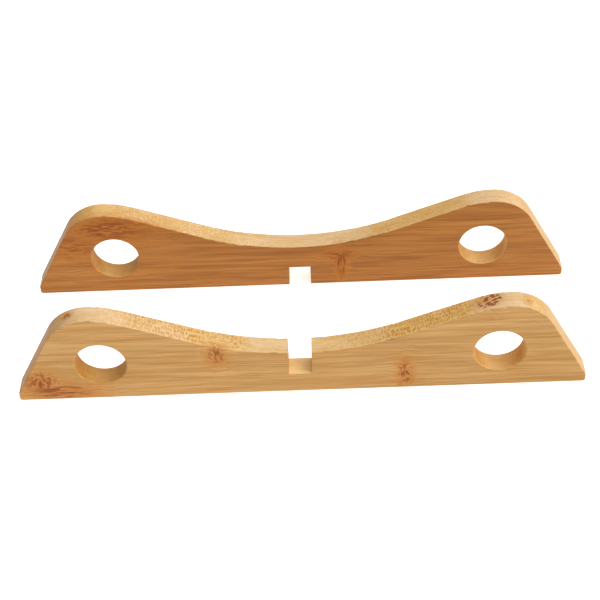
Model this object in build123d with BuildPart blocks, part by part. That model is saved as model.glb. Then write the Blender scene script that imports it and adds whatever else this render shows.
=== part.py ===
"""Cross-lap stand for a round-bottomed bowl: two bamboo boards, each standing on its long edge.

Frame: X along the boards, Y through their thickness, Z up. The origin is on the surface that the
boards stand on, midway between them. The boards are laid out side by side, as they are before
one of them is turned a quarter turn and dropped over the other.
"""
from build123d import *
import os

# Board, in mm
board_length = 300.0
board_height = 54.5  # at the two crests
board_thickness = 12.0
board_gap = 75.0  # between the facing sides of the two boards

# Top edge: a saddle that takes the bowl, a straight flank on each side of it, and two crests
saddle_height = 27.5  # lowest point of the saddle
saddle_radius = 155.0
crest_inset = 41.0  # from the end of the board to the top of the crest
crest_inner_radius = 48.0  # on the saddle's side of the crest
crest_outer_radius = 24.0  # on the sloping end's side of the crest

# Ends and edges
foot_height = 5.0  # upright part of the end, below its slope
foot_corner_radius = 3.0
base_corner_radius = 1.5
arris_radius = 0.8

# Round hole near each end
hole_diameter = 27.0
hole_inset = 46.0  # from the end of the board to the hole's centre
hole_height = 24.0

# Cross lap: each board gives up about half of its height at the middle
seat_height = 12.8  # where the crossed boards rest on each other
notch_clearance = 0.15  # on each side of the crossing board, and at each seat
notch_overrun = 1.0  # how far the notch is cut past the edge that it opens through

half_length = board_length / 2
crest_x = half_length - crest_inset
hole_x = half_length - hole_inset
notch_width = board_thickness + 2 * notch_clearance
lower_notch_depth = board_height + notch_overrun - (seat_height - notch_clearance)
upper_notch_depth = seat_height + notch_clearance + notch_overrun

# Planes on the rear faces of the two boards, facing the front
lower_rear_face = Plane.XZ.offset(board_gap / 2)
upper_rear_face = Plane.XZ.offset(-board_gap / 2 - board_thickness)

# Side view of either board before its notch: right half of the outline, mirrored to the left
with BuildSketch() as profile:
    with BuildLine():
        saddle_circle = CenterArc(
            (0, saddle_height + saddle_radius), saddle_radius, 0, 360, mode=Mode.PRIVATE
        )
        inner_circle = CenterArc(
            (crest_x, board_height - crest_inner_radius), crest_inner_radius, 0, 360,
            mode=Mode.PRIVATE
        )
        outer_circle = CenterArc(
            (crest_x, board_height - crest_outer_radius), crest_outer_radius, 0, 360,
            mode=Mode.PRIVATE
        )
        flank = ConstrainedLines(
            saddle_circle, inner_circle, selector=lambda lines: lines.sort_by(Axis.Y)[1]
        )
        end_slope = ConstrainedLines(
            outer_circle, (half_length, foot_height),
            selector=lambda lines: lines.sort_by(Axis.X)[-1], mode=Mode.PRIVATE
        )
        TangentArc((0, saddle_height), flank @ 0, tangent=(1, 0))
        inner_crest = TangentArc(flank @ 1, (crest_x, board_height), tangent=flank % 1)
        TangentArc(inner_crest @ 1, end_slope @ 0, tangent=(1, 0))
        FilletPolyline(
            end_slope @ 0, (half_length, foot_height), (half_length, 0), (0, 0),
            radius=(foot_corner_radius, base_corner_radius)
        )
        mirror(about=Plane.YZ)
    make_face()
    with Locations((-hole_x, hole_height), (hole_x, hole_height)):
        Circle(hole_diameter / 2, mode=Mode.SUBTRACT)

# The board that stays down: its notch is open at the top
with BuildPart() as lower_board:
    with BuildSketch(lower_rear_face):
        add(profile.sketch)
    extrude(amount=board_thickness)
    fillet(lower_board.faces().filter_by(Axis.Y).edges(), arris_radius)
    with BuildSketch(lower_rear_face):
        with Locations((0, board_height + notch_overrun)):
            Rectangle(notch_width, lower_notch_depth, align=(Align.CENTER, Align.MAX))
    extrude(amount=board_thickness, mode=Mode.SUBTRACT)

# The board that drops over it: its notch is open at the bottom
with BuildPart() as upper_board:
    with BuildSketch(upper_rear_face):
        add(profile.sketch)
    extrude(amount=board_thickness)
    fillet(upper_board.faces().filter_by(Axis.Y).edges(), arris_radius)
    with BuildSketch(upper_rear_face):
        with Locations((0, -notch_overrun)):
            Rectangle(notch_width, upper_notch_depth, align=(Align.CENTER, Align.MIN))
    extrude(amount=board_thickness, mode=Mode.SUBTRACT)

os.makedirs("parts", exist_ok=True)
lower_board.part.label = "lower_board"
export_step(lower_board.part, "parts/lower_board.step")
upper_board.part.label = "upper_board"
export_step(upper_board.part, "parts/upper_board.step")
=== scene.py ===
"""Looks of a two-board bamboo bowl stand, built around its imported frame.

Everything is in metres in the frame's own axes: X along the boards, Y through their thickness and
Z up from the surface they stand on. Bamboo patterns are worked out in millimetres.
"""
from collections import namedtuple
from math import radians

import bpy
from mathutils import Matrix, Vector


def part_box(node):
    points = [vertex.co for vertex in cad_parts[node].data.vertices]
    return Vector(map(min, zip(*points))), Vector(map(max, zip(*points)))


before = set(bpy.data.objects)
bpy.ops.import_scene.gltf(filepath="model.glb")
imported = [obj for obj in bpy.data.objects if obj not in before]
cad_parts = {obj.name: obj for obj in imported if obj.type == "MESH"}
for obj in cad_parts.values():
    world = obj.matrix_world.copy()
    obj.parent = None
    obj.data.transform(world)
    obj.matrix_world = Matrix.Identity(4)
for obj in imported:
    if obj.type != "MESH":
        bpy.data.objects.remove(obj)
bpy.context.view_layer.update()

bl_info = {
    "name": "Bamboo bowl stand",
    "version": (1, 0, 0),
    "blender": (4, 5, 0),
    "location": "View3D > Sidebar > Bowl Stand",
    "description": "Finishes the boards of a cross-lap bamboo bowl stand and sets a studio round them",
    "category": "Object",
}

MM = 1000.0  # millimetres in a metre
WHITE = (1.0, 1.0, 1.0, 1.0)

# What sets one board's bamboo apart, in mm: the lowest glue joint of its front layer, the levels
# between which its notch has sawn walls, and the size of a cut fibre bundle. Stipple is how strongly
# the bundles show on its sanded edges.
BoardBamboo = namedtuple(
    "BoardBamboo", "lowest_joint notch_bottom notch_top bundle_width bundle_height stipple")
BOARDS = {
    "lower_board": BoardBamboo(
        lowest_joint=0.0, notch_bottom=12.5, notch_top=60.0,
        bundle_width=3.4, bundle_height=0.46, stipple=0.12),
    "upper_board": BoardBamboo(
        lowest_joint=-7.5, notch_bottom=-1.0, notch_top=13.1,
        bundle_width=1.7, bundle_height=0.36, stipple=0.15),
}

# Places on a board, in mm. A notch's floor is its closed end, which in the upper board is its top.
# Between the notch's walls, its floor is the only surface between the two floor levels.
LEFT_SIDE = -50.0  # further left, the holes and the ends that face left are darkened as painted shade
WALL_SLACK = 0.02  # beyond a notch's wall, so that the wall itself counts as in the notch
FLOOR_LEVELS = (1.0, 20.0)
ARRIS = 0.8  # width of a board's rounded edges

# A knuckle is where a strip of bamboo crosses one of the culm's joints. Its middle is given along
# the board, behind the board's front face and above its base, and then how far it reaches each way,
# all in mm. Fleck is the size of one fleck or slot, along, behind and up, in mm. Dashes is 1 where
# the knuckle is separate slots, and 0 where it is a smear with flecks in it.
Knuckle = namedtuple(
    "Knuckle", "along behind up reach_along reach_behind reach_up darkness fleck dashes")
FLECK = (1.5, 2.0, 2.6)  # ragged spots where a face was planed through a knuckle
STEM = (0.8, 2.0, 7.0)  # upright smears, where a joint runs across the strip
TAIL = (7.5, 3.0, 1.1)  # fleck drawn out along the fibres beside a knuckle
CURL = (7.0, 3.0, 1.25)  # short dark lines in curly grain
DASH = (4.0, 2.1, 40.0)  # separate slots where an edge was sanded down to a knuckle
KNUCKLES = {
    "lower_board": (
        Knuckle(-43.5, 0.0, 27.5, 6.5, 4.0, 9.5, 1.0, FLECK, 0.0),
        Knuckle(54.5, 0.0, 10.5, 5.5, 4.0, 12.5, 1.05, FLECK, 0.0),
        Knuckle(-137.0, 0.0, 12.5, 12.0, 4.0, 10.5, 1.1, FLECK, 0.0),
        Knuckle(-127.0, 0.0, 6.0, 23.0, 4.0, 7.5, 1.15, TAIL, 0.0),
        Knuckle(97.6, 6.9, 53.0, 7.2, 5.4, 9.0, 1.0, DASH, 1.0),
        Knuckle(-118.8, 7.0, 52.5, 3.2, 2.6, 5.0, 1.2, FLECK, 0.0),
        Knuckle(117.5, 6.0, 52.0, 2.4, 4.5, 6.0, 0.4, FLECK, 0.0),
    ),
    "upper_board": (
        Knuckle(24.0, 0.0, 14.5, 4.0, 4.0, 15.0, 1.2, STEM, 0.0),
        Knuckle(22.5, 0.0, 21.5, 12.0, 4.0, 5.0, 1.0, TAIL, 0.0),
        Knuckle(-105.0, 0.0, 45.0, 33.0, 4.0, 10.5, 1.05, CURL, 0.0),
        Knuckle(-127.0, 0.0, 34.0, 18.0, 4.0, 12.0, 0.85, CURL, 0.0),
    ),
}

# A patch of a sanded edge where the cut bundles lie closer and the ground is more golden: its middle
# and its reach along the board, in mm, how much more strongly the bundles show and how golden it is.
Patch = namedtuple("Patch", "along reach stipple gold")
PATCHES = {
    "lower_board": (
        Patch(-70.0, 20.0, 0.52, 0.10),
        Patch(-43.0, 17.0, 0.62, 0.50),
        Patch(28.0, 22.0, 0.25, 0.40),
        Patch(67.0, 26.0, 0.75, 0.85),
        Patch(122.0, 7.0, 0.15, 0.50),
        Patch(-143.0, 18.0, 0.10, 0.60),
    ),
    "upper_board": (
        Patch(-118.0, 24.0, 0.40, 0.70),
        Patch(-66.0, 36.0, 0.50, 0.30),
        Patch(66.0, 30.0, 0.30, 0.65),
    ),
}


# ---------------------------------------------------------------- sizes and colours


class BambooSizes(bpy.types.PropertyGroup):
    """How the bamboo was grown, glued and cut, in millimetres."""

    strip_height: bpy.props.FloatProperty(
        name="Strip height", description="Width of one glued strip, up the board, in mm",
        default=18.2, min=5.0, max=60.0)
    strip_thickness: bpy.props.FloatProperty(
        name="Strip thickness", description="Thickness of one layer of strips, in mm",
        default=4.0, min=1.0, max=20.0)
    wave: bpy.props.FloatProperty(
        name="Wave", description="How far the fibres wander from straight, in mm",
        default=1.0, min=0.0, max=10.0)
    streak_length: bpy.props.FloatProperty(
        name="Streak length", description="Length of the broad light and dark streaks, in mm",
        default=58.0, min=5.0, max=400.0)
    streak_height: bpy.props.FloatProperty(
        name="Streak height", description="Height of the broad streaks, in mm",
        default=2.6, min=0.2, max=20.0)
    relief: bpy.props.FloatProperty(
        name="Relief", description="Height of the sanded grain, in mm",
        default=0.05, min=0.0, max=1.0)
    hole_reach: bpy.props.FloatProperty(
        name="Hole reach", description="From the middle of a board to each hole's axis, in mm",
        default=104.0, min=0.0)
    hole_height: bpy.props.FloatProperty(
        name="Hole height", description="From the base of a board to each hole's axis, in mm",
        default=24.0, min=0.0)
    hole_radius: bpy.props.FloatProperty(
        name="Hole radius", description="Radius of each hole, in mm", default=13.5, min=0.0)
    notch_half_width: bpy.props.FloatProperty(
        name="Notch half width", description="From the middle of a notch to its wall, in mm",
        default=6.15, min=0.0)


def colour_property(name, description, default):
    """A colour that a user may change."""
    return bpy.props.FloatVectorProperty(name=name, description=description, subtype="COLOR",
                                         size=3, default=default, min=0.0, max=1.0)


class BambooColours(bpy.types.PropertyGroup):
    """Colours of the two boards."""

    lower_light: colour_property("Lower board, light", "Light streaks of its faces",
                                 (0.652, 0.412, 0.172))
    lower_dark: colour_property("Lower board, dark", "Dark streaks of its faces",
                                (0.352, 0.175, 0.041))
    upper_light: colour_property("Upper board, light", "Light streaks of its faces",
                                 (0.535, 0.221, 0.048))
    upper_dark: colour_property("Upper board, dark", "Dark streaks of its faces",
                                (0.220, 0.051, 0.0035))
    edge_light: colour_property("Edges, light", "Light streaks of sanded edges and ends",
                                (0.82, 0.58, 0.33))
    edge_dark: colour_property("Edges, dark", "Dark streaks of sanded edges and ends",
                               (0.69, 0.435, 0.17))
    # Painted shade and painted bounce light: both wall colours are darker and more saturated than the
    # edges', as the walls of the holes and the notch lie in shade
    sawn_light: colour_property("Sawn walls, light", "Light streaks in the holes and notches",
                                (0.84, 0.54, 0.22))
    sawn_dark_shade: colour_property("Sawn walls, dark and shaded", "Dark streaks and painted shade in the holes and notches",
                               (0.60, 0.275, 0.035))
    end_grain: colour_property("End grain", "Tint of the steep ends, where every bundle is cut",
                               (0.84, 0.77, 0.66))
    gold: colour_property("Golden patches", "Tint of an edge where its bundles lie closer",
                          (1.0, 0.86, 0.50))
    warm: colour_property("Warm streaks", "Tint of the redder streaks of the faces",
                          (1.0, 0.86, 0.66))
    # Painted shade: darkens the walls of the holes on the left, away from the light on the right
    painted_shade_left_hole: colour_property("Left hole, painted shade", "Painted shade on the walls of the left holes",
                                  (0.80, 0.75, 0.62))
    # Painted shade: darkens the ends on the left that face left, away from the light on the right
    painted_shade_left_end: colour_property("Left end, painted shade", "Painted shade on the ends that face left",
                                 (0.70, 0.60, 0.46))
    # Painted light: a lighter colour for the notch's floor, which lies in shade between its walls
    painted_light_notch_floor: colour_property("Notch floor, painted light", "Painted light on the notch's floor", (0.95, 0.68, 0.30))
    bundle: colour_property("Fibre bundles", "Cut fibre bundles", (0.545, 0.245, 0.034))
    knuckle_halo: colour_property("Knuckle halo", "Stained bamboo round a knuckle",
                                  (0.53, 0.175, 0.012))
    knuckle: colour_property("Knuckles", "Dark tissue where a strip crosses a joint of the culm",
                             (0.26, 0.052, 0.0))


class StudioSetting(bpy.types.PropertyGroup):
    """Camera, lights and floor."""

    camera_place: bpy.props.FloatVectorProperty(
        name="Camera place", description="Where the camera stands",
        subtype="TRANSLATION", unit="LENGTH", size=3, default=(0.0171, -0.5931, 0.5391))
    camera_dip: bpy.props.FloatProperty(
        name="Camera dip", description="How far the camera looks down from level",
        subtype="ANGLE", default=radians(41.14))
    camera_heading: bpy.props.FloatProperty(
        name="Camera heading", description="Turn of the view to the left of +Y",
        subtype="ANGLE", default=radians(1.62))
    camera_roll: bpy.props.FloatProperty(
        name="Camera roll", description="Clockwise tilt of the camera, seen from behind it",
        subtype="ANGLE", default=radians(3.13))
    lens: bpy.props.FloatProperty(
        name="Lens", description="Focal length of the camera, in mm", default=86.42, min=10.0)
    floor_size: bpy.props.FloatProperty(
        name="Floor size", description="Side of the square floor",
        unit="LENGTH", default=8.0, min=1.0)
    sky: bpy.props.FloatProperty(
        name="Sky", description="Strength of the even white light from all round",
        default=0.45, min=0.0)
    overhead: bpy.props.FloatProperty(
        name="Overhead", description="Strength of the broad light above", default=1.35, min=0.0)
    side: bpy.props.FloatProperty(
        name="Side", description="Strength of the softer light on the right", default=1.24, min=0.0)


# ---------------------------------------------------------------- node helpers


def new_node(tree, kind, inputs=None, **settings):
    """Adds a node. An input is a value, or the output socket to link to it."""
    made = tree.nodes.new(kind)
    for name, value in settings.items():
        setattr(made, name, value)
    for name, value in (inputs or {}).items():
        if isinstance(value, bpy.types.NodeSocket):
            tree.links.new(value, made.inputs[name])
        else:
            made.inputs[name].default_value = value
    return made


def maths(tree, operation, *values, clamp=False):
    """Output of a Math node."""
    return new_node(tree, "ShaderNodeMath", dict(enumerate(values)), operation=operation,
                    use_clamp=clamp).outputs[0]


def add_share(tree, value, mask, amount):
    """Value, with amount added where mask is 1."""
    return maths(tree, "ADD", value, maths(tree, "MULTIPLY", mask, amount))


def vector_maths(tree, operation, *values):
    """Output of a Vector Math node."""
    made = new_node(tree, "ShaderNodeVectorMath", dict(enumerate(values)), operation=operation)
    return made.outputs["Value" if operation in ("LENGTH", "DOT_PRODUCT") else "Vector"]


def combine(tree, x, y, z):
    """A vector made of three values."""
    return new_node(tree, "ShaderNodeCombineXYZ", {"X": x, "Y": y, "Z": z}).outputs[0]


def separate(tree, vector):
    """The three values of a vector."""
    return new_node(tree, "ShaderNodeSeparateXYZ", {"Vector": vector}).outputs


def ramp(tree, value, low, high, to_low=0.0, to_high=1.0):
    """Eases from to_low to to_high as value goes from low to high."""
    inputs = {
        "Value": value, "From Min": low, "From Max": high, "To Min": to_low, "To Max": to_high}
    return new_node(tree, "ShaderNodeMapRange", inputs, interpolation_type="SMOOTHSTEP").outputs[0]


def noise(tree, vector, cell, detail=2.0, roughness=0.5, output="Fac"):
    """Noise whose lumps measure about cell, a vector in the pattern's own units."""
    stretched = vector_maths(tree, "DIVIDE", vector, cell)
    inputs = {"Vector": stretched, "Scale": 1.0, "Detail": detail, "Roughness": roughness}
    return new_node(tree, "ShaderNodeTexNoise", inputs).outputs[output]


def mix_colour(tree, share, first, second, blend="MIX"):
    """Goes from the first colour to the second, or blends the second over it, by share."""
    made = new_node(tree, "ShaderNodeMix", data_type="RGBA", blend_type=blend)
    for name, value in (("Factor_Float", share), ("A_Color", first), ("B_Color", second)):
        socket = next(s for s in made.inputs if s.identifier == name)
        if isinstance(value, bpy.types.NodeSocket):
            tree.links.new(value, socket)
        else:
            socket.default_value = value
    return next(s for s in made.outputs if s.identifier == "Result_Color")


def opaque(colour):
    """A colour with the alpha that colour sockets take."""
    return (*colour, 1.0)


def cover(tree, share, ground, colour):
    """Lays a colour over a ground."""
    return mix_colour(tree, share, ground, opaque(colour))


def tint(tree, share, ground, colour):
    """Multiplies a ground by a colour."""
    return mix_colour(tree, share, ground, opaque(colour), "MULTIPLY")


def new_group(name, inputs, outputs):
    """Starts a shader node group: each input is a name, kind and default, each output a name and
    kind. Returns the tree, what it is given and its end."""
    tree = bpy.data.node_groups.new(name, "ShaderNodeTree")
    for label, kind, default in inputs:
        socket = tree.interface.new_socket(label, in_out="INPUT", socket_type="NodeSocket" + kind)
        if default is not None:
            socket.default_value = default
    for label, kind in outputs:
        tree.interface.new_socket(label, in_out="OUTPUT", socket_type="NodeSocket" + kind)
    return tree, tree.nodes.new("NodeGroupInput").outputs, tree.nodes.new("NodeGroupOutput")


def close_group(tree, end, **outputs):
    """Links the group's outputs, given by name with _ for a space."""
    for name, socket in outputs.items():
        tree.links.new(socket, end.inputs[name.replace("_", " ")])
    return tree


def place_group(tree, group, inputs):
    """Adds a group node and returns its outputs."""
    return new_node(tree, "ShaderNodeGroup", inputs, node_tree=bpy.data.node_groups[group]).outputs


# ---------------------------------------------------------------- shader groups


def build_strip_group():
    """Which glued strip a point is in: its own tone, its shift of the grain, and the glue lines."""
    tree, given, end = new_group(
        "bamboo_strips",
        (("Position", "Vector", None), ("Strip Height", "Float", 18.2),
         ("Strip Thickness", "Float", 4.0), ("Lowest Joint", "Float", 0.0),
         ("Front Face", "Float", 0.0)),
        (("Tone", "Float"), ("Shift", "Vector"), ("Glue", "Float")))
    step_up = 0.37  # each layer's joints are higher than the last one's by this share of a strip
    seed = 3.7
    largest_shift = (400.0, 30.0, 30.0)
    glue_line = 0.16

    _, y, z = separate(tree, given["Position"])
    up = maths(tree, "DIVIDE", maths(tree, "SUBTRACT", z, given["Lowest Joint"]),
               given["Strip Height"])
    back = maths(tree, "DIVIDE", maths(tree, "SUBTRACT", y, given["Front Face"]),
                 given["Strip Thickness"])
    layer = maths(tree, "FLOOR", back)
    up = add_share(tree, up, layer, step_up)
    strip = maths(tree, "FLOOR", up)
    own = new_node(tree, "ShaderNodeTexWhiteNoise",
                   {"Vector": combine(tree, strip, layer, seed)}, noise_dimensions="3D").outputs
    shift = vector_maths(tree, "MULTIPLY", own["Color"], largest_shift)

    def near_joint(place, size):
        """1 in the thin line where place passes a whole number."""
        off = maths(tree, "ABSOLUTE", maths(tree, "SUBTRACT", maths(tree, "FRACT", place), 0.5))
        gap = maths(tree, "MULTIPLY", maths(tree, "SUBTRACT", 0.5, off), size)
        return ramp(tree, gap, 0.0, glue_line, to_low=1.0, to_high=0.0)

    glue = maths(tree, "MAXIMUM", near_joint(up, given["Strip Height"]),
                 near_joint(back, given["Strip Thickness"]))
    return close_group(tree, end, Tone=own["Value"], Shift=shift, Glue=glue)


def build_knuckle_group():
    """A knuckle in one strip: dark flecks in a ragged patch, and fibres that swirl round it."""
    tree, given, end = new_group(
        "bamboo_knuckle",
        (("Position", "Vector", None), ("Middle", "Vector", None), ("Reach", "Vector", (5, 4, 9)),
         ("Fleck", "Vector", FLECK), ("Dashes", "Float", 0.0), ("Darkness", "Float", 1.0)),
        (("Mark", "Float"), ("Halo", "Float"), ("Swirl", "Float")))
    ragged_cell = (4.0, 4.0, 3.0)
    raggedness = (6.0, 1.0, 5.0)
    ragged = noise(tree, given["Position"], ragged_cell, detail=3.0, roughness=0.6, output="Color")
    ragged = vector_maths(tree, "MULTIPLY",
                          vector_maths(tree, "SUBTRACT", ragged, (0.5, 0.5, 0.5)), raggedness)
    frayed = vector_maths(tree, "ADD", given["Position"], ragged)
    off = vector_maths(tree, "DIVIDE", vector_maths(tree, "SUBTRACT", frayed, given["Middle"]),
                       given["Reach"])
    distance = vector_maths(tree, "LENGTH", off)

    # A planed face shows a smear with darker flecks in it
    smear_depth, fleck_depth = 0.14, 0.74
    flecks = ramp(tree, noise(tree, given["Position"], given["Fleck"], roughness=0.55), 0.45, 0.57)
    smear = maths(tree, "MULTIPLY", ramp(tree, distance, 0.15, 1.0, to_low=1.0, to_high=0.0),
                  add_share(tree, smear_depth, flecks, fleck_depth))
    halo = maths(tree, "MULTIPLY", ramp(tree, distance, 0.3, 1.6, to_low=0.75, to_high=0.0),
                 given["Darkness"], clamp=True)

    # A sanded edge shows separate slots, which lean a little
    lean_back, lean_along = 0.55, 0.45
    x, y, z = separate(tree, given["Position"])
    leaning = combine(tree, add_share(tree, x, y, lean_back),
                      maths(tree, "SUBTRACT", y, maths(tree, "MULTIPLY", x, lean_along)), z)
    cells = vector_maths(tree, "DIVIDE", leaning, given["Fleck"])
    near = new_node(tree, "ShaderNodeTexVoronoi", {"Vector": cells, "Scale": 1.0, "Randomness": 0.55},
                    feature="F1").outputs["Distance"]
    slots = maths(tree, "MULTIPLY", ramp(tree, near, 0.34, 0.50, to_low=0.9, to_high=0.0),
                  ramp(tree, distance, 0.80, 1.0, to_low=1.0, to_high=0.0))
    kept = maths(tree, "ADD", maths(tree, "MULTIPLY", slots, given["Dashes"]),
                 maths(tree, "MULTIPLY", smear, maths(tree, "SUBTRACT", 1.0, given["Dashes"])))
    mark = maths(tree, "MULTIPLY", kept, given["Darkness"], clamp=True)
    swirl = ramp(tree, distance, 0.6, 2.8, to_low=1.0, to_high=0.0)
    return close_group(tree, end, Mark=mark, Halo=halo, Swirl=swirl)


def build_patch_group():
    """One patch along a sanded edge, with ragged ends."""
    tree, given, end = new_group(
        "fibre_patch",
        (("Position", "Vector", None), ("Along", "Float", 0.0), ("Reach", "Float", 20.0)),
        (("Share", "Float"),))
    ragged_cell = (5.0, 3.0, 5.0)
    raggedness = 14.0
    x, _, _ = separate(tree, given["Position"])
    ragged = noise(tree, given["Position"], ragged_cell, roughness=0.6)
    x = add_share(tree, x, maths(tree, "SUBTRACT", ragged, 0.5), raggedness)
    off = maths(tree, "ABSOLUTE", maths(tree, "SUBTRACT", x, given["Along"]))
    off = maths(tree, "DIVIDE", off, given["Reach"])
    return close_group(tree, end, Share=ramp(tree, off, 0.65, 1.15, to_low=1.0, to_high=0.0))


def build_grain_group():
    """Fibres that run along the board: broad streaks, fine lines, redder streaks and the bundles."""
    tree, given, end = new_group(
        "bamboo_grain",
        (("Position", "Vector", None), ("Shift", "Vector", None), ("Wave", "Float", 1.0),
         ("Swirl", "Float", 0.0), ("Streak Length", "Float", 58.0), ("Streak Height", "Float", 2.6),
         ("Bundle Width", "Float", 3.4), ("Bundle Height", "Float", 0.46)),
        (("Streak", "Float"), ("Fine", "Float"), ("Warmth", "Float"), ("Bundle", "Float")))
    streak_width = 6.0
    fine_cell = (46.0, 1.4, 0.62)
    warmth_cell = (38.0, 5.0, 3.4)
    warmth_shift = (70.0, 40.0, 90.0)  # so that the redder streaks aren't the light or dark ones

    # The fibres wander slowly along a strip, and quickly round a knuckle
    slow_cell, quick_cell = (60.0, 16.0, 14.0), (8.0, 4.0, 3.2)
    slow_sway, quick_sway_back, quick_sway_up = 3.0, 2.0, 5.0
    start = vector_maths(tree, "ADD", given["Position"], given["Shift"])
    slow = vector_maths(tree, "SUBTRACT", noise(tree, start, slow_cell, output="Color"),
                        (0.5, 0.5, 0.5))
    quick = vector_maths(tree, "SUBTRACT", noise(tree, start, quick_cell, output="Color"),
                         (0.5, 0.5, 0.5))
    gentle = maths(tree, "MULTIPLY", given["Wave"], slow_sway)
    slow = vector_maths(tree, "MULTIPLY", slow, combine(tree, 0.0, gentle, gentle))
    quick = vector_maths(tree, "MULTIPLY", quick, combine(
        tree, 0.0, maths(tree, "MULTIPLY", given["Swirl"], quick_sway_back),
        maths(tree, "MULTIPLY", given["Swirl"], quick_sway_up)))
    grown = vector_maths(tree, "ADD", start, vector_maths(tree, "ADD", slow, quick))

    streak_cell = combine(tree, given["Streak Length"], streak_width, given["Streak Height"])
    streak = noise(tree, grown, streak_cell, detail=4.0, roughness=0.62)
    fine = noise(tree, grown, fine_cell, detail=3.0, roughness=0.6)
    warmth = noise(tree, vector_maths(tree, "ADD", grown, warmth_shift), warmth_cell,
                   detail=3.0, roughness=0.6)

    # Bundles run the whole length of a strip, so only their place across it matters
    _, across, up = separate(tree, grown)
    cells = combine(tree, maths(tree, "DIVIDE", across, given["Bundle Width"]),
                    maths(tree, "DIVIDE", up, given["Bundle Height"]), 0.0)
    near = new_node(tree, "ShaderNodeTexVoronoi", {"Vector": cells, "Scale": 1.0, "Randomness": 0.6},
                    feature="F1", voronoi_dimensions="2D").outputs["Distance"]
    fade_cell = (22.0, 5.0, 4.0)
    faintest, fade_range = 0.55, 0.45
    faded = ramp(tree, noise(tree, grown, fade_cell, roughness=0.6), 0.35, 0.6)
    bundle = maths(tree, "MULTIPLY", ramp(tree, near, 0.18, 0.52, to_low=1.0, to_high=0.0),
                   add_share(tree, faintest, faded, fade_range))
    return close_group(tree, end, Streak=ramp(tree, streak, 0.36, 0.64),
                       Fine=ramp(tree, fine, 0.35, 0.65), Warmth=ramp(tree, warmth, 0.40, 0.66),
                       Bundle=bundle)


def build_wear_group():
    """Faint smudges from handling, which dull the surface and tint it a little."""
    tree, given, end = new_group(
        "handling_wear", (("Position", "Vector", None), ("Spread", "Float", 22.0)),
        (("Smudge", "Float"),))
    cell = combine(tree, given["Spread"], given["Spread"], given["Spread"])
    smudge = noise(tree, given["Position"], cell, detail=3.0, roughness=0.6)
    return close_group(tree, end, Smudge=ramp(tree, smudge, 0.35, 0.75))


def build_shader_groups():
    """Builds the shared groups once."""
    if "bamboo_strips" not in bpy.data.node_groups:
        build_strip_group()
        build_knuckle_group()
        build_patch_group()
        build_grain_group()
        build_wear_group()


# ---------------------------------------------------------------- bamboo


def place_knuckles(tree, board, position, front_face):
    """The strongest mark, halo and swirl of the board's knuckles."""
    strongest = {}
    for knuckle in KNUCKLES[board]:
        found = place_group(tree, "bamboo_knuckle", {
            "Position": position,
            "Middle": (knuckle.along, front_face + knuckle.behind, knuckle.up),
            "Reach": (knuckle.reach_along, knuckle.reach_behind, knuckle.reach_up),
            "Fleck": knuckle.fleck, "Dashes": knuckle.dashes, "Darkness": knuckle.darkness})
        for name in ("Mark", "Halo", "Swirl"):
            if name in strongest:
                strongest[name] = maths(tree, "MAXIMUM", strongest[name], found[name])
            else:
                strongest[name] = found[name]
    return strongest["Mark"], strongest["Halo"], strongest["Swirl"]


def place_patches(tree, board, position):
    """How much more the bundles show along the board's edges, and how golden they are."""
    closer, golden = 0.0, 0.0
    for patch in PATCHES[board]:
        share = place_group(tree, "fibre_patch", {
            "Position": position, "Along": patch.along, "Reach": patch.reach})["Share"]
        closer = add_share(tree, closer, share, patch.stipple)
        golden = maths(tree, "MAXIMUM", golden, maths(tree, "MULTIPLY", share, patch.gold))
    return closer, golden


def between_notch_walls(tree, x, sizes):
    """1 from one wall of the notch to the other."""
    return maths(tree, "LESS_THAN", maths(tree, "ABSOLUTE", x), sizes.notch_half_width + WALL_SLACK)


def sawn_share(tree, board, position, sideways, sizes):
    """1 on the walls of the holes and the notch, 0 on the sanded outside and the notch's floor."""
    x, _, z = separate(tree, position)
    along = maths(tree, "SUBTRACT", maths(tree, "ABSOLUTE", x), sizes.hole_reach)
    off = vector_maths(tree, "LENGTH", combine(tree, along, 0.0,
                                               maths(tree, "SUBTRACT", z, sizes.hole_height)))
    # The hole's rounded edge goes from sawn to sanded
    in_hole = ramp(tree, off, sizes.hole_radius + 0.2, sizes.hole_radius + ARRIS,
                   to_low=1.0, to_high=0.0)
    between = between_notch_walls(tree, x, sizes)
    level = maths(tree, "MULTIPLY", maths(tree, "GREATER_THAN", z, BOARDS[board].notch_bottom),
                  maths(tree, "LESS_THAN", z, BOARDS[board].notch_top))
    in_notch = maths(tree, "MULTIPLY", maths(tree, "MULTIPLY", between, level),
                     maths(tree, "GREATER_THAN", sideways, 0.5))
    return maths(tree, "MAXIMUM", in_hole, in_notch)


def painted_light_notch_floor_share(tree, x, z, sizes):
    """How much painted light shows: most of it on the notch's floor, which lies in shade between its
    walls, none elsewhere.
    """
    strongest = 0.85
    lowest, highest = FLOOR_LEVELS
    share = maths(tree, "MULTIPLY", between_notch_walls(tree, x, sizes),
                  maths(tree, "LESS_THAN", z, highest))
    share = maths(tree, "MULTIPLY", share, maths(tree, "GREATER_THAN", z, lowest))
    return maths(tree, "MULTIPLY", share, strongest)


def bamboo_tone(tree, grain, strips):
    """From the dark ground, 0, to the light one, 1, by streaks, fine lines and each strip's tone."""
    from_streaks, from_fine_lines, from_strip = 0.46, 0.40, 0.14
    tone = maths(tree, "MULTIPLY", grain["Streak"], from_streaks)
    tone = add_share(tree, tone, grain["Fine"], from_fine_lines)
    return add_share(tree, tone, strips["Tone"], from_strip)


def face_colour(tree, tone, light, dark, warmth, colours):
    """Planed wide faces, with some redder streaks."""
    warm_share = 0.6
    face = mix_colour(tree, tone, opaque(dark), opaque(light))
    return tint(tree, maths(tree, "MULTIPLY", warmth, warm_share), face, colours.warm)


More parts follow.
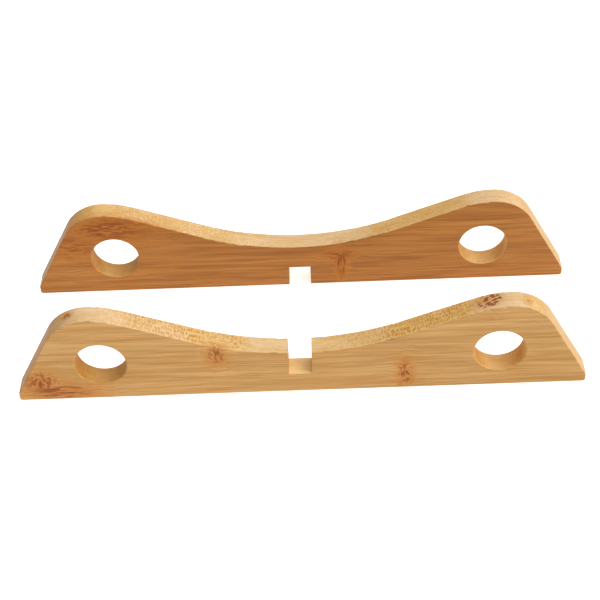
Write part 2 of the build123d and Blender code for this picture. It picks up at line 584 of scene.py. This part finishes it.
def edge_colour(tree, tone, sideways, left_end, golden, painted_light_notch_floor, colours):
    """Sanded edges and ends, with painted shade on the ends on the left that face left, and painted
    light on the floor of the notch.
    """
    edge = mix_colour(tree, tone, opaque(colours.edge_dark), opaque(colours.edge_light))
    edge = tint(tree, ramp(tree, sideways, 0.45, 0.85), edge, colours.end_grain)
    # Painted shade on the ends on the left that face left
    edge = tint(tree, left_end, edge, colours.painted_shade_left_end)
    edge = tint(tree, golden, edge, colours.gold)
    # Painted light on the notch's floor
    return cover(tree, painted_light_notch_floor, edge, colours.painted_light_notch_floor)


def wall_colour(tree, tone, sideways, left, colours):
    """Sawn walls of the holes and the notch, more saturated than the edges as painted bounce light,
    and darker where they face sideways as painted shade.
    """
    tone_share = 0.5
    # Painted shade: walls that face sideways get more of the dark colour
    steep = maths(tree, "ADD", maths(tree, "MULTIPLY", tone, tone_share),
                  ramp(tree, sideways, 0.35, 0.9, to_low=0.5, to_high=-0.1), clamp=True)
    wall = mix_colour(tree, steep, opaque(colours.sawn_dark_shade), opaque(colours.sawn_light))
    # Painted shade on the walls of the holes on the left
    return tint(tree, left, wall, colours.painted_shade_left_hole)


def bundles_shown(tree, board, cut, sideways, closer, sawn):
    """How strongly the fibre bundles show: faintly on the faces, as stipple on the edges."""
    on_faces, on_sawn_walls = 0.16, 0.3
    # Where the edge slopes a little it cuts the bundles slantwise, into stipple
    slanting = maths(tree, "MULTIPLY", ramp(tree, sideways, 0.07, 0.27, to_low=0.06, to_high=1.0),
                     ramp(tree, sideways, 0.45, 0.80, to_low=1.0, to_high=0.35))
    closer = maths(tree, "ADD", BOARDS[board].stipple, closer)
    shown = add_share(tree, on_faces, maths(tree, "MULTIPLY", cut, slanting), closer)
    return maths(tree, "MULTIPLY", shown,
                 ramp(tree, sawn, 0.0, 1.0, to_low=1.0, to_high=on_sawn_walls))


def bamboo_material(board, light, dark):
    """Laminated bamboo for one board, with its own tones, joints and stipple."""
    sizes, colours = bpy.context.scene.bamboo_sizes, bpy.context.scene.bamboo_colours
    bamboo = BOARDS[board]
    front_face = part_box(board)[0].y * MM
    material = bpy.data.materials.new(board + "_bamboo")
    material.use_nodes = True
    tree = material.node_tree
    tree.nodes.clear()
    where = new_node(tree, "ShaderNodeTexCoord").outputs
    position = vector_maths(tree, "MULTIPLY", where["Object"], (MM, MM, MM))
    strips = place_group(tree, "bamboo_strips", {
        "Position": position, "Strip Height": sizes.strip_height,
        "Strip Thickness": sizes.strip_thickness, "Lowest Joint": bamboo.lowest_joint,
        "Front Face": front_face})
    mark, halo, swirl = place_knuckles(tree, board, position, front_face)
    grain = place_group(tree, "bamboo_grain", {
        "Position": position, "Shift": strips["Shift"], "Wave": sizes.wave, "Swirl": swirl,
        "Streak Length": sizes.streak_length, "Streak Height": sizes.streak_height,
        "Bundle Width": bamboo.bundle_width, "Bundle Height": bamboo.bundle_height})
    wear = place_group(tree, "handling_wear", {"Position": position})
    closer, golden = place_patches(tree, board, position)

    # Wide faces look along Y; everything else was cut across the strips
    sideways, facing, _ = separate(tree, vector_maths(tree, "ABSOLUTE", where["Normal"]))
    cut = ramp(tree, facing, 0.35, 0.95, to_low=1.0, to_high=0.0)
    x, _, z = separate(tree, position)
    # The ends on the left that face left get painted shade
    left = maths(tree, "LESS_THAN", x, LEFT_SIDE)
    faces_left = ramp(tree, separate(tree, where["Normal"])["X"], -0.80, -0.02,
                      to_low=1.0, to_high=0.0)
    left_end = maths(tree, "MULTIPLY", left, faces_left)
    sawn = maths(tree, "MULTIPLY", sawn_share(tree, board, position, sideways, sizes), cut)

    tone = bamboo_tone(tree, grain, strips)
    face = face_colour(tree, tone, light, dark, grain["Warmth"], colours)
    edge = edge_colour(tree, tone, sideways, left_end, golden, painted_light_notch_floor_share(tree, x, z, sizes),
                       colours)
    wall = wall_colour(tree, tone, sideways, left, colours)
    coloured = mix_colour(tree, sawn, mix_colour(tree, cut, face, edge), wall)

    glue_stain, smudge_stain, halo_gaps = 0.18, 0.05, 0.6
    bundle = maths(tree, "MULTIPLY", grain["Bundle"],
                   bundles_shown(tree, board, cut, sideways, closer, sawn))
    coloured = cover(tree, bundle, coloured, colours.bundle)
    coloured = cover(tree, maths(tree, "MULTIPLY", strips["Glue"], glue_stain), coloured,
                     colours.bundle)
    broken = maths(tree, "SUBTRACT", 1.0, maths(tree, "MULTIPLY", grain["Fine"], halo_gaps))
    coloured = cover(tree, maths(tree, "MULTIPLY", halo, broken), coloured, colours.knuckle_halo)
    coloured = cover(tree, mark, coloured, colours.knuckle)
    coloured = cover(tree, maths(tree, "MULTIPLY", wear["Smudge"], smudge_stain), coloured,
                     colours.bundle)

    roughness = 0.46
    for mask, rougher in ((grain["Fine"], 0.10), (wear["Smudge"], 0.08), (sawn, 0.12)):
        roughness = add_share(tree, roughness, mask, rougher)

    # Cut bundles and knuckles lie lower than the fibres round them
    height = grain["Fine"]
    for mask, sunk in ((bundle, 0.8), (mark, 1.2)):
        height = maths(tree, "SUBTRACT", height, maths(tree, "MULTIPLY", mask, sunk))
    bump = new_node(tree, "ShaderNodeBump",
                    {"Height": height, "Strength": 0.5, "Distance": sizes.relief / MM}).outputs[0]
    shader = new_node(tree, "ShaderNodeBsdfPrincipled", {
        "Base Color": coloured, "Roughness": roughness, "Normal": bump, "IOR": 1.45,
        "Specular IOR Level": 0.35})
    new_node(tree, "ShaderNodeOutputMaterial", {"Surface": shader.outputs[0]})
    return material


def finish_board(board, light, dark):
    """Gives a board's CAD node its bamboo."""
    build_shader_groups()
    material = bamboo_material(board, light, dark)
    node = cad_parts[board]
    node.data.materials.clear()
    node.data.materials.append(material)


# ---------------------------------------------------------------- operators


class STAND_OT_lower_board(bpy.types.Operator):
    """Finish the board that stays down, in pale bamboo with strong stipple on its sanded edges"""

    bl_idname = "stand.lower_board"
    bl_label = "Lower board"

    def execute(self, context):
        colours = context.scene.bamboo_colours
        finish_board("lower_board", colours.lower_light, colours.lower_dark)
        return {"FINISHED"}


class STAND_OT_upper_board(bpy.types.Operator):
    """Finish the board that drops over the other, in amber bamboo"""

    bl_idname = "stand.upper_board"
    bl_label = "Upper board"

    def execute(self, context):
        colours = context.scene.bamboo_colours
        finish_board("upper_board", colours.upper_light, colours.upper_dark)
        return {"FINISHED"}


class STAND_OT_studio(bpy.types.Operator):
    """Set the floor, the soft lights and the camera round the stand"""

    bl_idname = "stand.studio"
    bl_label = "Studio"

    def execute(self, context):
        setting = context.scene.studio_setting
        add_floor(setting)
        add_lights(context.scene, setting)
        add_camera(context.scene, setting)
        return {"FINISHED"}


def add_floor(setting):
    """A plain white floor, which looks a little whiter than it lights the boards."""
    floor_white = (0.92, 0.92, 0.92, 1.0)
    glow, extra_glow_seen = 0.42, 0.16
    half = setting.floor_size / 2
    corners = [(-half, -half, 0), (half, -half, 0), (half, half, 0), (-half, half, 0)]
    mesh = bpy.data.meshes.new("floor")
    mesh.from_pydata(corners, [], [(0, 1, 2, 3)])
    floor = bpy.data.objects.new("floor", mesh)
    bpy.context.scene.collection.objects.link(floor)
    material = bpy.data.materials.new("floor_white")
    material.use_nodes = True
    tree = material.node_tree
    shader = tree.nodes["Principled BSDF"]
    shader.inputs["Base Color"].default_value = floor_white
    shader.inputs["Roughness"].default_value = 0.9
    shader.inputs["Specular IOR Level"].default_value = 0.1
    shader.inputs["Emission Color"].default_value = WHITE
    seen = new_node(tree, "ShaderNodeLightPath").outputs["Is Camera Ray"]
    strength = add_share(tree, glow, seen, extra_glow_seen)
    tree.links.new(strength, shader.inputs["Emission Strength"])
    mesh.materials.append(material)


def add_soft_light(scene, name, towards, strength, spread):
    """A broad light, far away in the direction of towards, so that the whole floor is lit alike."""
    light = bpy.data.lights.new(name, "SUN")
    light.energy = strength
    light.angle = spread
    lamp = bpy.data.objects.new(name, light)
    scene.collection.objects.link(lamp)
    lamp.rotation_euler = (-Vector(towards)).to_track_quat("-Z", "Y").to_euler()


def add_lights(scene, setting):
    """Even white light from all round, a broad light overhead and a softer one on the right."""
    world = bpy.data.worlds.new("studio_white")
    world.use_nodes = True
    tree = world.node_tree
    tree.nodes.clear()
    dim = new_node(tree, "ShaderNodeBackground",
                   {"Color": WHITE, "Strength": setting.sky}).outputs[0]
    plain = new_node(tree, "ShaderNodeBackground", {"Color": WHITE, "Strength": 1.0}).outputs[0]
    seen = new_node(tree, "ShaderNodeLightPath").outputs["Is Camera Ray"]
    mixed = new_node(tree, "ShaderNodeMixShader", {0: seen, 1: dim, 2: plain}).outputs[0]
    new_node(tree, "ShaderNodeOutputWorld", {"Surface": mixed})
    scene.world = world
    above, on_the_right = (0.45, 0.05, 1.0), (1.1, -0.6, 0.8)
    add_soft_light(scene, "overhead_light", above, setting.overhead, spread=radians(70))
    add_soft_light(scene, "side_light", on_the_right, setting.side, spread=radians(50))
    scene.view_settings.view_transform = "Standard"


def add_camera(scene, setting):
    """The camera looks down on the boards from in front of them, a little rolled."""
    data = bpy.data.cameras.new("camera")
    data.lens = setting.lens
    camera = bpy.data.objects.new("camera", data)
    scene.collection.objects.link(camera)
    turn = (Matrix.Rotation(setting.camera_heading, 4, "Z")
            @ Matrix.Rotation(radians(90) - setting.camera_dip, 4, "X")
            @ Matrix.Rotation(-setting.camera_roll, 4, "Z"))
    camera.matrix_world = Matrix.Translation(setting.camera_place) @ turn
    scene.camera = camera


# ---------------------------------------------------------------- panel and registration


class STAND_PT_panel(bpy.types.Panel):
    """Sizes, colours and operators of the bowl stand"""

    bl_idname = "STAND_PT_panel"
    bl_label = "Bowl Stand"
    bl_space_type = "VIEW_3D"
    bl_region_type = "UI"
    bl_category = "Bowl Stand"

    def draw(self, context):
        for group, _ in SETTINGS:
            settings = getattr(context.scene, group)
            box = self.layout.box()
            for name in settings.bl_rna.properties.keys():
                if name not in ("rna_type", "name"):
                    box.prop(settings, name)
        for operator in OPERATORS:
            self.layout.operator(operator.bl_idname)


SETTINGS = (
    ("bamboo_sizes", BambooSizes),
    ("bamboo_colours", BambooColours),
    ("studio_setting", StudioSetting),
)
OPERATORS = (STAND_OT_lower_board, STAND_OT_upper_board, STAND_OT_studio)


def register():
    for name, group in SETTINGS:
        bpy.utils.register_class(group)
        setattr(bpy.types.Scene, name, bpy.props.PointerProperty(type=group))
    for cls in (*OPERATORS, STAND_PT_panel):
        bpy.utils.register_class(cls)


def unregister():
    for cls in (STAND_PT_panel, *reversed(OPERATORS)):
        bpy.utils.unregister_class(cls)
    for name, group in reversed(SETTINGS):
        delattr(bpy.types.Scene, name)
        bpy.utils.unregister_class(group)


def main():
    register()
    bpy.ops.stand.lower_board()
    bpy.ops.stand.upper_board()
    bpy.ops.stand.studio()


if __name__ == "__main__":
    main()
